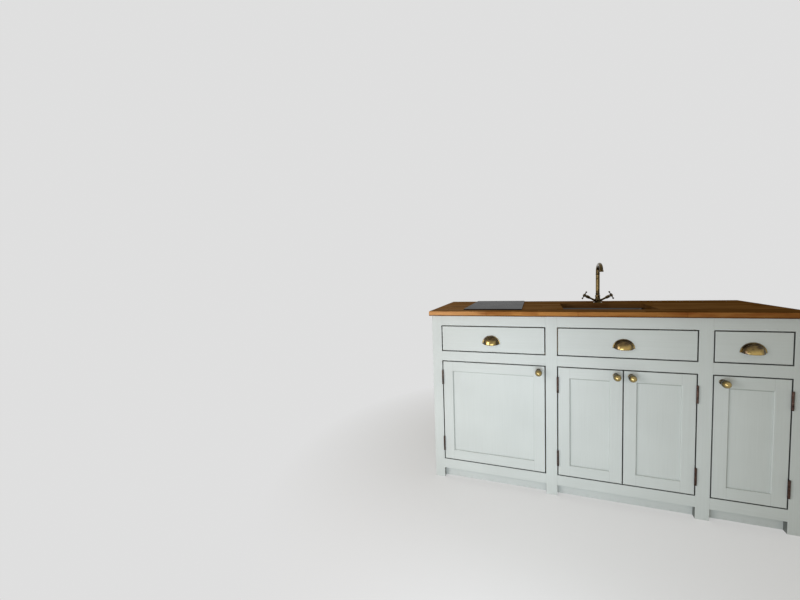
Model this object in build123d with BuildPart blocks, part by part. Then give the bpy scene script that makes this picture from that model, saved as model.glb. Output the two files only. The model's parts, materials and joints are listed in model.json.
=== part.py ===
from build123d import *

import os
from math import cos, radians, sin

# A run of fitted kitchen base cupboards with an oak worktop.
# A painted face frame holds flush panelled doors on butt hinges, two drawers and one false drawer front.
# Behind it stands a plain carcass. A sink bowl hangs under the worktop, a glass hob and a two-handled tap
# stand on it. +X runs along the front to the right, the front faces -Y and +Z is up. The origin is on
# the floor, in the middle of the length and of the depth. Sizes are in millimetres.

# Heights, from the floor up
counter_height = 900
worktop_thickness = 24
foot_height = 52
rail_width = 50
top_rail_width = 52
drawer_opening_height = 136

# The face frame, with the clear width of each bay from left to right and what its upper front is
stile_width = 50
bay_widths = (506, 545, 254)
bay_fronts = ("drawer", "fixed", "drawer")
frame_thickness = 27
frame_edge_round = 0.8

# The worktop
front_overhang = 20
end_overhang = 10
worktop_depth = 600
worktop_edge_round = 2.5

# The carcass
board_thickness = 18
back_thickness = 9
scribe_depth = 20
back_rail_height = 80

# Doors and fronts
running_gap = 5
door_thickness = 20
door_border = 50
door_edge_round = 0.8
panel_recess = 8
panel_thickness = 6
panel_tongue = 7
moulding_width = 1.6

# Drawers
drawer_side = 12
drawer_bottom = 6
drawer_bottom_lift = 9
drawer_box_height = 100
drawer_back_clearance = 33
drawer_box_lift = 4
runner_thickness = 15
runner_seat_gap = 0.3
runner_lap = 3
guide_height = 40
cleat_reach = 54

# Butt hinges
hinge_height = 76
hinge_inset = 45
knuckle_radius = 4.5
knuckle_count = 5
knuckle_gap = 0.3
pin_radius = 2
pin_clearance = 0.1
leaf_gap = 0.6
leaf_width = 19

# Cup pulls
pull_width = 73
pull_height = 35
pull_reach = 26
pull_wall = 2
pull_rim_width = 6
pull_rim_thickness = 1.6
pull_lip_drop = 5
pull_lift = -3

# Door knobs
knob_reach = 54
knob_head_radius = 16
knob_head_length = 36
knob_neck_radius = 6
knob_rose_radius = 12
knob_rose_thickness = 3
knob_edge_distance = 27
knob_top_distance = 24

# The sink bowl
bowl_length = 400
bowl_width = 310
bowl_depth = 160
bowl_corner = 15
bowl_floor_round = 12
bowl_wall = 1.5
bowl_flange = 15
bowl_front_distance = 92
waste_radius = 45
waste_flange = 6
waste_lip = 3
waste_play = 1
waste_rim = 1
waste_tail_radius = 20
waste_tail_length = 70

# The hob
hob_width = 290
hob_depth = 510
hob_glass_thickness = 5
hob_glass_bevel = 1.6
hob_corner = 6
hob_front_distance = 54
hob_casing_border = 12
hob_casing_back_border = 42
hob_casing_height = 52
hob_casing_wall = 1.2
hob_cutout_gap = 3

# The tap
tap_offset = -37
tap_distance = 465
tap_hole_radius = 17.5
tap_tail_radius = 15
tap_tail_length = 46
tap_nut_radius = 21
tap_nut_height = 8
tap_flange_radius = 22.5
tap_flange_thickness = 2
tap_waist_radius = 14
tap_waist_height = 7
tap_belly_radius = 16.5
tap_belly_height = 14
tap_neck_radius = 12
tap_neck_height = 28
tap_body_height = 33
arm_angle = 29
arm_start_height = 5
arm_radius = 6.5
arm_length = 69
bonnet_radius = 9.5
bonnet_length = 15
handle_radius = 25
handle_spoke_radius = 3
handle_ball_radius = 4.6
handle_hub_radius = 8.5
handle_hub_length = 15
handle_hub_round = 2
handle_count = 4
spout_radius = 10
spout_wall = 2
spout_height = 182
spout_reach = 115
spout_rise = 32.5
spout_tip_length = 8
spout_tip_radius = 11.5
spout_nut_radius = 13
spout_nut_height = 10
turning_gap = 0.3

# What follows from the sizes, along the length
run_length = sum(bay_widths) + stile_width * (len(bay_widths) + 1)
bay_left = [-run_length / 2 + stile_width * (i + 1) + sum(bay_widths[:i]) for i in range(len(bay_widths))]
bay_right = [left + width for left, width in zip(bay_left, bay_widths)]
bay_middle = [(left + right) / 2 for left, right in zip(bay_left, bay_right)]
stile_left = [-run_length / 2] + bay_right
stile_middle = [left + stile_width / 2 for left in stile_left]
inner_left = -run_length / 2 + board_thickness
inner_right = run_length / 2 - board_thickness
division_middle = stile_middle[1:-1]
bay_wall_left = [inner_left] + [x + board_thickness / 2 for x in division_middle]
bay_wall_right = [x - board_thickness / 2 for x in division_middle] + [inner_right]

# What follows from the sizes, through the depth
back_reach = worktop_depth - front_overhang
front_reach = max(knob_reach, pull_reach, front_overhang)
face = (front_reach - back_reach) / 2
frame_back = face + frame_thickness
worktop_front = face - front_overhang
worktop_back = face + back_reach
carcass_back = worktop_back - scribe_depth
board_back = carcass_back - back_thickness

# What follows from the sizes, upwards
worktop_base = counter_height - worktop_thickness
drawer_top = worktop_base - top_rail_width
drawer_base = drawer_top - drawer_opening_height
door_top = drawer_base - rail_width
door_base = foot_height + rail_width
drawer_bays = [bay for bay, front in enumerate(bay_fronts) if front == "drawer"]
false_bay = bay_fronts.index("fixed")

os.makedirs("parts", exist_ok=True)


def save(piece, name):
    """Label a finished piece and write it as its own file."""
    piece.part.label = name
    export_step(piece.part, f"parts/{name}.step")


def board(x, y, z):
    """Add a square board between two values each along X, Y and Z."""
    with Locations((x[0], y[0], z[0])):
        Box(x[1] - x[0], y[1] - y[0], z[1] - z[0], align=(Align.MIN, Align.MIN, Align.MIN))


# The face frame: stiles that run down as feet, and three lines of rails between them
with BuildPart() as face_stiles:
    for left in stile_left:
        board((left, left + stile_width), (face, frame_back), (0, worktop_base))
    fillet(face_stiles.faces().group_by(Axis.Y)[0].edges().filter_by(Axis.Z), frame_edge_round)
save(face_stiles, "face_stiles")

for name, low, high in (
    ("top_rails", drawer_top, worktop_base),
    ("middle_rails", door_top, drawer_base),
    ("bottom_rails", foot_height, door_base),
):
    with BuildPart() as rails:
        for left, right in zip(bay_left, bay_right):
            board((left, right), (face, frame_back), (low, high))
        fillet(rails.faces().group_by(Axis.Y)[0].edges().filter_by(Axis.X), frame_edge_round)
    save(rails, name)

# The carcass behind the frame
for name, left in (("end_panel_left", -run_length / 2), ("end_panel_right", inner_right)):
    with BuildPart() as end_panel:
        board((left, left + board_thickness), (frame_back, carcass_back), (0, worktop_base))
    save(end_panel, name)

with BuildPart() as divisions:
    for x in division_middle:
        board(
            (x - board_thickness / 2, x + board_thickness / 2),
            (frame_back, board_back),
            (door_base, worktop_base),
        )
save(divisions, "divisions")

with BuildPart() as bottom_board:
    board((inner_left, inner_right), (frame_back, board_back), (door_base - board_thickness, door_base))
save(bottom_board, "bottom_board")

for name, front in (("plinth_front", frame_back), ("plinth_back", board_back - board_thickness)):
    with BuildPart() as plinth:
        board((inner_left, inner_right), (front, front + board_thickness), (0, door_base - board_thickness))
    save(plinth, name)

with BuildPart() as back_panel:
    board((inner_left, inner_right), (board_back, carcass_back), (door_base - board_thickness, worktop_base))
save(back_panel, "back_panel")

with BuildPart() as back_rails:
    for left, right in zip(bay_wall_left, bay_wall_right):
        board(
            (left, right),
            (board_back - board_thickness, board_back),
            (worktop_base - back_rail_height, worktop_base),
        )
save(back_rails, "back_rails")

# Timber runners that carry the drawer sides, with guides that stand on them
runner_top = drawer_base + running_gap + drawer_box_lift - runner_seat_gap
runner_reach = running_gap + drawer_side + runner_lap
with BuildPart() as drawer_runners:
    for bay in drawer_bays:
        for x in (
            (bay_wall_left[bay], bay_left[bay] + runner_reach),
            (bay_right[bay] - runner_reach, bay_wall_right[bay]),
        ):
            board(x, (frame_back, board_back), (runner_top - runner_thickness, runner_top))
save(drawer_runners, "drawer_runners")

with BuildPart() as drawer_guides:
    for bay in drawer_bays:
        for x in ((bay_wall_left[bay], bay_left[bay]), (bay_right[bay], bay_wall_right[bay])):
            board(x, (frame_back, board_back), (runner_top, runner_top + guide_height))
save(drawer_guides, "drawer_guides")

# The worktop, with its holes for the bowl, the hob casing and the tap
tap_x = bay_middle[false_bay] + tap_offset
tap_y = face + tap_distance
bowl_y = face + bowl_front_distance + bowl_width / 2
hob_x = bay_middle[0]
hob_y = face + hob_front_distance + hob_depth / 2
casing_width = hob_width - 2 * hob_casing_border
casing_depth = hob_depth - hob_casing_border - hob_casing_back_border
casing_y = hob_y - (hob_casing_back_border - hob_casing_border) / 2

with BuildPart() as worktop:
    board(
        (-run_length / 2 - end_overhang, run_length / 2 + end_overhang),
        (worktop_front, worktop_back),
        (worktop_base, counter_height),
    )
    top_edges = worktop.faces().sort_by(Axis.Z)[-1].edges()
    fillet(top_edges - top_edges.group_by(Axis.Y)[-1], worktop_edge_round)
    with BuildSketch(Plane.XY.offset(counter_height)):
        with Locations((tap_x, bowl_y)):
            RectangleRounded(bowl_length, bowl_width, bowl_corner)
        with Locations((hob_x, casing_y)):
            Rectangle(casing_width + 2 * hob_cutout_gap, casing_depth + 2 * hob_cutout_gap)
        with Locations((tap_x, tap_y)):
            Circle(tap_hole_radius)
    extrude(amount=-worktop_thickness, mode=Mode.SUBTRACT)
save(worktop, "worktop")

# The sink bowl, pressed from one sheet and hung from its flange under the worktop
bowl_base = worktop_base - bowl_depth


def bowl_outline(growth):
    """Draw the bowl's rounded outline at the worktop's underside, larger by a growth on every side."""
    with BuildSketch(Plane.XY.offset(worktop_base)) as outline:
        with Locations((tap_x, bowl_y)):
            RectangleRounded(bowl_length + 2 * growth, bowl_width + 2 * growth, bowl_corner + growth)
    return outline.sketch


with BuildPart() as bowl_hollow:
    extrude(bowl_outline(0), amount=-bowl_depth)
    fillet(bowl_hollow.faces().sort_by(Axis.Z)[0].edges(), bowl_floor_round)

with BuildPart() as sink_bowl:
    extrude(bowl_outline(bowl_wall), amount=-bowl_depth - bowl_wall)
    fillet(sink_bowl.faces().sort_by(Axis.Z)[0].edges(), bowl_floor_round + bowl_wall)
    extrude(bowl_outline(bowl_flange), amount=-bowl_wall)
    add(bowl_hollow.part, mode=Mode.SUBTRACT)
    with BuildSketch(Plane.XY.offset(bowl_base)):
        with Locations((tap_x, bowl_y)):
            Circle(waste_radius - waste_lip)
    extrude(amount=-bowl_wall, mode=Mode.SUBTRACT)
save(sink_bowl, "sink_bowl")

with BuildPart() as sink_waste:
    with BuildSketch(Plane.XZ.offset(-bowl_y)):
        with BuildLine():
            Polyline(
                (tap_x, bowl_base - waste_tail_length),
                (tap_x + waste_tail_radius, bowl_base - waste_tail_length),
                (tap_x + waste_tail_radius, bowl_base - waste_tail_radius),
                (tap_x + waste_radius - waste_lip - waste_play, bowl_base - waste_flange),
                (tap_x + waste_radius - waste_lip - waste_play, bowl_base),
                (tap_x + waste_radius, bowl_base),
                (tap_x + waste_radius - waste_rim, bowl_base + waste_rim),
                (tap_x + waste_tail_radius, bowl_base - waste_flange),
                (tap_x, bowl_base - waste_flange),
                close=True,
            )
        make_face()
    revolve(axis=Axis((tap_x, bowl_y, 0), (0, 0, 1)))
save(sink_waste, "sink_waste")

# The hob: a bevelled sheet of glass over a casing that drops through the worktop
with BuildPart() as hob_glass:
    with BuildSketch(Plane.XY.offset(counter_height)):
        with Locations((hob_x, hob_y)):
            RectangleRounded(hob_width, hob_depth, hob_corner)
    extrude(amount=hob_glass_thickness)
    chamfer(hob_glass.faces().sort_by(Axis.Z)[-1].edges(), hob_glass_bevel)
save(hob_glass, "hob_glass")

with BuildPart() as hob_casing:
    with BuildSketch(Plane.XY.offset(counter_height)):
        with Locations((hob_x, casing_y)):
            Rectangle(casing_width, casing_depth)
    extrude(amount=-hob_casing_height)
    chamfer(hob_casing.faces().sort_by(Axis.Z)[0].edges(), hob_casing_border)
    offset(amount=-hob_casing_wall, openings=hob_casing.faces().sort_by(Axis.Z)[-1])
save(hob_casing, "hob_casing")

# The tap: a turned body with two raked arms, a swivelling spout and two cross handles
tap_origin = (tap_x, tap_y, counter_height)


def arm_plane(side, distance):
    """Give the plane across one arm of the tap, at a distance along it."""
    along = Vector(side * cos(radians(arm_angle)), 0, sin(radians(arm_angle)))
    start = Vector(*tap_origin) + Vector(0, 0, arm_start_height)
    return Plane(origin=start + along * distance, x_dir=(0, 1, 0), z_dir=along)


with BuildPart() as tap_body:
    with BuildSketch(Plane(origin=tap_origin, x_dir=(1, 0, 0), z_dir=(0, -1, 0))):
        with BuildLine():
            foot = Polyline(
                (0, -tap_tail_length),
                (tap_tail_radius, -tap_tail_length),
                (tap_tail_radius, 0),
                (tap_flange_radius, 0),
                (tap_flange_radius, tap_flange_thickness),
            )
            shoulder = (tap_waist_radius, tap_waist_height)
            RadiusArc(foot @ 1, shoulder, -tap_flange_radius / 2)
            belly = Spline(
                shoulder,
                (tap_belly_radius, tap_belly_height),
                (tap_neck_radius, tap_neck_height),
                tangents=((1, 1), (0, 1)),
            )
            Polyline(belly @ 1, (tap_neck_radius, tap_body_height), (0, tap_body_height), foot @ 0)
        make_face()
    revolve(axis=Axis(tap_origin, (0, 0, 1)))
    for side in (-1, 1):
        with BuildSketch(arm_plane(side, 0)):
            Circle(arm_radius)
        extrude(amount=arm_length)
        with BuildSketch(arm_plane(side, arm_length - bonnet_length)):
            Circle(bonnet_radius)
        extrude(amount=bonnet_length)
    with BuildSketch(Plane.XY.offset(worktop_base)):
        with Locations((tap_x, tap_y)):
            RegularPolygon(tap_nut_radius, 6)
    extrude(amount=-tap_nut_height)
save(tap_body, "tap_body")

for name, side in (("tap_handle_left", -1), ("tap_handle_right", 1)):
    with BuildPart(arm_plane(side, arm_length + turning_gap)) as tap_handle:
        Cylinder(handle_hub_radius, handle_hub_length, align=(Align.CENTER, Align.CENTER, Align.MIN))
        fillet(tap_handle.edges().filter_by(GeomType.CIRCLE), handle_hub_round)
        with Locations((0, 0, handle_hub_length / 2)):
            for turn in range(handle_count // 2):
                Cylinder(
                    handle_spoke_radius,
                    2 * (handle_radius - handle_ball_radius),
                    rotation=(90, turn * 360 / handle_count, 0),
                )
            with PolarLocations(handle_radius - handle_ball_radius, handle_count):
                Sphere(handle_ball_radius)
    save(tap_handle, name)

spout_start = tap_body_height + turning_gap
with BuildPart() as tap_spout:
    with BuildLine(Plane(origin=tap_origin, x_dir=(0, 1, 0), z_dir=(1, 0, 0))) as spout_path:
        Line((0, spout_start), (0, spout_height))
        EllipticalCenterArc((-spout_reach / 2, spout_height), spout_reach / 2, spout_rise, arc_size=180)
        Line((-spout_reach, spout_height), (-spout_reach, spout_height - spout_tip_length))
    with BuildSketch(Plane.XY.offset(counter_height + spout_start)):
        with Locations((tap_x, tap_y)):
            Circle(spout_radius)
    sweep(path=spout_path.line)
    with BuildSketch(Plane.XY.offset(counter_height + spout_height - spout_tip_length)):
        with Locations((tap_x, tap_y - spout_reach)):
            Circle(spout_tip_radius)
    extrude(amount=spout_tip_length)
    with BuildSketch(Plane.XY.offset(counter_height + spout_height - spout_tip_length)):
        with Locations((tap_x, tap_y - spout_reach)):
            Circle(spout_radius - spout_wall)
    extrude(amount=spout_tip_length, mode=Mode.SUBTRACT)
    with BuildSketch(Plane.XY.offset(counter_height + spout_start)):
        with Locations((tap_x, tap_y)):
            Circle(spout_nut_radius)
    extrude(amount=spout_nut_height)
save(tap_spout, "tap_spout")

# The cup pull: a quarter of a hollow egg on a thin rim, open below, with its lip dropped at the front
with BuildPart() as pull_hollow:
    Sphere(1)
    scale(by=(pull_width / 2 - pull_wall, pull_reach - pull_wall, pull_height - pull_wall))

with BuildPart() as pull_form:
    Sphere(1)
    scale(by=(pull_width / 2, pull_reach, pull_height))
    with BuildSketch(Plane.XZ):
        Ellipse(pull_width / 2 + pull_rim_width, pull_height + pull_rim_width)
    extrude(amount=pull_rim_thickness)
    split(bisect_by=Plane(origin=(0, 0, 0), x_dir=(1, 0, 0), z_dir=(0, -pull_lip_drop, pull_reach)))
    split(bisect_by=Plane.XZ)
    add(pull_hollow.part, mode=Mode.SUBTRACT)

pull_z = (drawer_top + drawer_base - pull_height) / 2 + pull_lift
for name, bay in (("cup_pull_left", 0), ("cup_pull_middle", 1), ("cup_pull_right", 2)):
    with BuildPart() as cup_pull:
        with Locations((bay_middle[bay], face, pull_z)):
            add(pull_form.part)
    save(cup_pull, name)

# Drawer fronts, with the false one held on cleats behind the frame
front_z = (drawer_base + running_gap, drawer_top - running_gap)
for name, bay in (("drawer_left_front", 0), ("false_front", 1), ("drawer_right_front", 2)):
    with BuildPart() as drawer_front:
        board(
            (bay_left[bay] + running_gap, bay_right[bay] - running_gap),
            (face, face + door_thickness),
            front_z,
        )
        fillet(drawer_front.faces().sort_by(Axis.Y)[0].edges(), door_edge_round)
    save(drawer_front, name)

cleat_lap = (stile_width - board_thickness) / 2
with BuildPart() as false_front_cleats:
    for left, right, lap in (
        (bay_left[false_bay], bay_left[false_bay] + cleat_reach, (-cleat_lap, 0)),
        (bay_right[false_bay] - cleat_reach, bay_right[false_bay], (0, cleat_lap)),
    ):
        board((left + lap[0], right + lap[1]), (frame_back, frame_back + board_thickness), front_z)
        board((left + running_gap, right - running_gap), (face + door_thickness, frame_back), front_z)
save(false_front_cleats, "false_front_cleats")

# Drawer boxes, open above, with the bottom let in above the lower edge of the sides
box_base = drawer_base + running_gap + drawer_box_lift
box_y = (face + door_thickness, board_back - board_thickness - drawer_back_clearance)
for name, bay in (("drawer_left_box", 0), ("drawer_right_box", 2)):
    box_x = (bay_left[bay] + running_gap, bay_right[bay] - running_gap)
    inside_x = (box_x[0] + drawer_side, box_x[1] - drawer_side)
    inside_y = (box_y[0] + drawer_side, box_y[1] - drawer_side)
    with BuildPart() as drawer_hollow:
        board(inside_x, inside_y, (box_base, box_base + drawer_bottom_lift))
        board(inside_x, inside_y, (box_base + drawer_bottom_lift + drawer_bottom, box_base + drawer_box_height))
    with BuildPart() as drawer_box:
        board(box_x, box_y, (box_base, box_base + drawer_box_height))
        add(drawer_hollow.part, mode=Mode.SUBTRACT)
    save(drawer_box, name)

# The knob: a rose, a neck and an egg-shaped head, turned about its own axis
with BuildPart() as knob_form:
    with BuildSketch(Plane.XY):
        Rectangle(knob_rose_radius, knob_rose_thickness, align=(Align.MIN, Align.MAX))
        Rectangle(knob_neck_radius, knob_reach / 2, align=(Align.MIN, Align.MAX))
        with Locations((0, -knob_reach + knob_head_length / 2)):
            Ellipse(knob_head_radius, knob_head_length / 2)
        split(bisect_by=Plane.YZ)
    revolve(axis=Axis.Y)

# One butt hinge, drawn about its pin for a door that hangs on its left
knuckle_length = (hinge_height - (knuckle_count - 1) * knuckle_gap) / knuckle_count
knuckle_base = [-hinge_height / 2 + i * (knuckle_length + knuckle_gap) for i in range(knuckle_count)]
pin_stand = knuckle_radius + knuckle_gap
leaf_thickness = (running_gap - leaf_gap) / 2


def hinge_leaf(knuckles, x):
    """Add a flat leaf between two values of x, with a tab and a knuckle at each height that is named."""
    board(x, (pin_stand, pin_stand + leaf_width), (-hinge_height / 2, hinge_height / 2))
    for base in knuckles:
        board(x, (0, pin_stand), (base, base + knuckle_length))
        with Locations((0, 0, base)):
            Cylinder(knuckle_radius, knuckle_length, align=(Align.CENTER, Align.CENTER, Align.MIN))


with BuildPart() as fixed_leaf:
    hinge_leaf(knuckle_base[::2], (-running_gap / 2, -leaf_gap / 2))
    Cylinder(pin_radius, hinge_height)

with BuildPart() as moving_leaf:
    hinge_leaf(knuckle_base[1::2], (leaf_gap / 2, running_gap / 2))
    Cylinder(pin_radius + pin_clearance, hinge_height, mode=Mode.SUBTRACT)

# Doors: name, left edge, right edge and the side that they hang on, -1 for left
meeting = bay_middle[1]
doors = (
    ("door_left", bay_left[0] + running_gap, bay_right[0] - running_gap, -1),
    ("door_middle_left", bay_left[1] + running_gap, meeting - running_gap / 2, -1),
    ("door_middle_right", meeting + running_gap / 2, bay_right[1] - running_gap, 1),
    ("door_right", bay_left[2] + running_gap, bay_right[2] - running_gap, 1),
)
door_z = (door_base + running_gap, door_top - running_gap)
hinge_heights = (door_z[0] + hinge_inset + hinge_height / 2, door_z[1] - hinge_inset - hinge_height / 2)
pin_y = face - pin_stand


def hinge_places(left, right, side):
    """Give the middle of each hinge pin of one door."""
    x = left - running_gap / 2 if side < 0 else right + running_gap / 2
    return [(x, pin_y, z) for z in hinge_heights]


def hung(leaf, side):
    """Give a hinge leaf for a door that hangs on this side."""
    return leaf.part if side < 0 else leaf.part.mirror(Plane.YZ)


with BuildPart() as hinge_plates:
    for _, left, right, side in doors:
        with Locations(*hinge_places(left, right, side)):
            add(hung(fixed_leaf, side))
save(hinge_plates, "hinge_plates")

panel_y = (face + panel_recess, face + panel_recess + panel_thickness)
for name, left, right, side in doors:
    opening_x = (left + door_border, right - door_border)
    opening_z = (door_z[0] + door_border, door_z[1] - door_border)
    panel_x = (opening_x[0] - panel_tongue, opening_x[1] + panel_tongue)
    panel_z = (opening_z[0] - panel_tongue, opening_z[1] + panel_tongue)

    with BuildPart() as door_frame:
        board((left, right), (face, face + door_thickness), door_z)
        fillet(door_frame.faces().sort_by(Axis.Y)[0].edges(), door_edge_round)
        with BuildSketch(Plane.XZ.offset(-face)) as opening:
            with Locations(((opening_x[0] + opening_x[1]) / 2, (opening_z[0] + opening_z[1]) / 2)):
                Rectangle(opening_x[1] - opening_x[0], opening_z[1] - opening_z[0])
        extrude(amount=-door_thickness, mode=Mode.SUBTRACT)
        chamfer(door_frame.faces().sort_by(Axis.Y)[0].inner_wires()[0].edges(), moulding_width)
        with Locations((panel_x[0], panel_y[0], panel_z[0])):
            Box(
                panel_x[1] - panel_x[0],
                panel_thickness,
                panel_z[1] - panel_z[0],
                align=(Align.MIN, Align.MIN, Align.MIN),
                mode=Mode.SUBTRACT,
            )
    save(door_frame, f"{name}_frame")

    with BuildPart() as door_panel:
        board(panel_x, panel_y, panel_z)
    save(door_panel, f"{name}_panel")

    knob_x = right - knob_edge_distance if side < 0 else left + knob_edge_distance
    with BuildPart() as door_knob:
        with Locations((knob_x, face, door_z[1] - knob_top_distance)):
            add(knob_form.part)
    save(door_knob, f"{name}_knob")

    with BuildPart() as door_hinges:
        with Locations(*hinge_places(left, right, side)):
            add(hung(moving_leaf, side))
    save(door_hinges, f"{name}_hinges")
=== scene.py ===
"""The looks of a run of fitted kitchen cupboards.

Painted fronts, an oak worktop, antique brass pulls, knobs and tap, bronze hinges, a gunmetal bowl and a glass
hob. Lengths are in metres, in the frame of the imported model: +X runs along the front to the right, the front
faces -Y and +Z is up.
"""
import json
import math

import bmesh
import bpy
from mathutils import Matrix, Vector


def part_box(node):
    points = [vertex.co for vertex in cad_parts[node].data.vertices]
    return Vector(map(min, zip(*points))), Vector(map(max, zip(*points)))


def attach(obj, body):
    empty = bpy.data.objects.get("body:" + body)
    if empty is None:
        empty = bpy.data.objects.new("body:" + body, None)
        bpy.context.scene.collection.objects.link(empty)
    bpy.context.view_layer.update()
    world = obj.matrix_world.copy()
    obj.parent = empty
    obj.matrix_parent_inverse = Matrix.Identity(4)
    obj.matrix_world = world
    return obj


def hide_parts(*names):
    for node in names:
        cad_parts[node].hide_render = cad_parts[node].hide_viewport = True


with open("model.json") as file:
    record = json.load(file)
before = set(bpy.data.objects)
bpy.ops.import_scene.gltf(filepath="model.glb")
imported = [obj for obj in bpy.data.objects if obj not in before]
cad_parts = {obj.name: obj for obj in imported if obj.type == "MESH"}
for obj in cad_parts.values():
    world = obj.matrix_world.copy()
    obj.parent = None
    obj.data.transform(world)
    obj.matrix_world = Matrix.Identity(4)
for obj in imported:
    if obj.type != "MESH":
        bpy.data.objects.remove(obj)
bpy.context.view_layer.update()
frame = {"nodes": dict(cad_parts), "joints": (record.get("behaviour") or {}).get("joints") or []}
scene = bpy.context.scene
scene.view_settings.view_transform = "Standard"

ALONG, DEEP, UP = Vector((1, 0, 0)), Vector((0, 1, 0)), Vector((0, 0, 1))
MM = 0.001
DOORS = ("door_left", "door_middle_left", "door_middle_right", "door_right")
DOORS_HUNG_LEFT = DOORS[:2]
JOINT_PLACES = {joint["name"]: Vector(joint.get("pos_m", (0, 0, 0))) for joint in frame["joints"]}

worktop_low, worktop_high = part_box("worktop")
frame_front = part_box("face_stiles")[0].y
frame_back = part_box("face_stiles")[1].y
run_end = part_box("face_stiles")[1].x
bowl_low, bowl_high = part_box("sink_bowl")


# The camera and the lamps

CAMERA_PLACE = (-0.2378, -2.0898, 1.0988)
CAMERA_TURNS = (85.9019, 1.9925, 20.5886)
LENS, FILM_WIDTH = 16.2, 36

KEY_LAMP = {"place": (-1.6, -1.8, 0.95), "aim": (-0.4, -0.26, 0.1), "size": 0.9, "watts": 14.6,
            "tint": (1.0, 0.955, 0.99)}
LOW_FILL = {"place": (-0.3, -1.6, 0.42), "aim": (-0.3, -0.26, 0.05), "size": 0.7, "watts": 8.8,
            "tint": (0.82, 0.90, 1.0)}


def make_camera():
    """The photograph's viewpoint: a little above the worktop, turned to the left, with a wide lens."""
    camera = bpy.data.cameras.new("photo_camera")
    camera.sensor_width = FILM_WIDTH
    camera.lens = LENS
    holder = bpy.data.objects.new("photo_camera", camera)
    holder.location = CAMERA_PLACE
    holder.rotation_euler = [math.radians(turn) for turn in CAMERA_TURNS]
    scene.collection.objects.link(holder)
    scene.camera = holder


def add_lamp(name, place, aim, size, watts, tint):
    """A soft square lamp that points at a place."""
    lamp = bpy.data.lights.new(name, "AREA")
    lamp.shape = "SQUARE"
    lamp.size = size
    lamp.energy = watts
    lamp.color = tint
    holder = bpy.data.objects.new(name, lamp)
    holder.location = place
    holder.rotation_euler = (Vector(aim) - Vector(place)).to_track_quat("-Z", "Y").to_euler()
    holder.visible_camera = False
    scene.collection.objects.link(holder)


# Shader maths


def srgb(red, green, blue):
    """A colour as it shows on a screen, from 0 to 255, as the linear colour that a shader takes."""
    shares = [value / 255 for value in (red, green, blue)]
    return (*[share / 12.92 if share < 0.04045 else ((share + 0.055) / 1.055) ** 2.4 for share in shares], 1)


class Wire:
    """One output in a node tree. Python's operators on it add Math nodes."""

    def __init__(self, nodes, socket):
        self.nodes = nodes
        self.socket = socket

    def maths(self, operation, *others):
        return self.nodes.node("Math", {"operation": operation}, dict(enumerate((self, *others))))

    def after(self, operation, first):
        return self.nodes.node("Math", {"operation": operation}, {0: first, 1: self})

    def __add__(self, other):
        return self.maths("ADD", other)

    def __mul__(self, other):
        return self.maths("MULTIPLY", other)

    def __sub__(self, other):
        return self.maths("SUBTRACT", other)

    def __truediv__(self, other):
        return self.maths("DIVIDE", other)

    def __pow__(self, other):
        return self.maths("POWER", other)

    def __gt__(self, other):
        return self.maths("GREATER_THAN", other)

    def __lt__(self, other):
        return self.maths("LESS_THAN", other)

    def __rsub__(self, other):
        return self.after("SUBTRACT", other)

    def __rtruediv__(self, other):
        return self.after("DIVIDE", other)

    def __abs__(self):
        return self.maths("ABSOLUTE")

    def __floor__(self):
        return self.maths("FLOOR")

    def sine(self):
        return self.maths("SINE")

    def largest(self, other):
        return self.maths("MAXIMUM", other)

    def smallest(self, other):
        return self.maths("MINIMUM", other)

    __radd__ = __add__
    __rmul__ = __mul__


class Nodes:
    """A node tree to which nodes are added from Python expressions."""

    def __init__(self, tree):
        self.tree = tree

    def node(self, kind, settings=None, inputs=None, output=0):
        """Add a node: its type, its settings, then the values or wires of its sockets. Give one output."""
        made = self.tree.nodes.new("ShaderNode" + kind)
        for name, value in (settings or {}).items():
            if name == "stops":
                self.set_stops(made.color_ramp, value)
            else:
                setattr(made, name, value)
        for name, value in (inputs or {}).items():
            if isinstance(value, Wire):
                self.tree.links.new(value.socket, made.inputs[name])
            else:
                made.inputs[name].default_value = value
        return Wire(self, made.outputs[output])

    @staticmethod
    def set_stops(ramp, stops):
        for _ in stops[2:]:
            ramp.elements.new(0.5)
        for element, (position, colour) in zip(ramp.elements, stops):
            element.position = position
            element.color = colour

    def tint(self, mask, low, high):
        """Mix two colours by a mask from 0 to 1."""
        return self.node("Mix", {"data_type": "RGBA"}, {0: mask, 6: low, 7: high}, 2)


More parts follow.
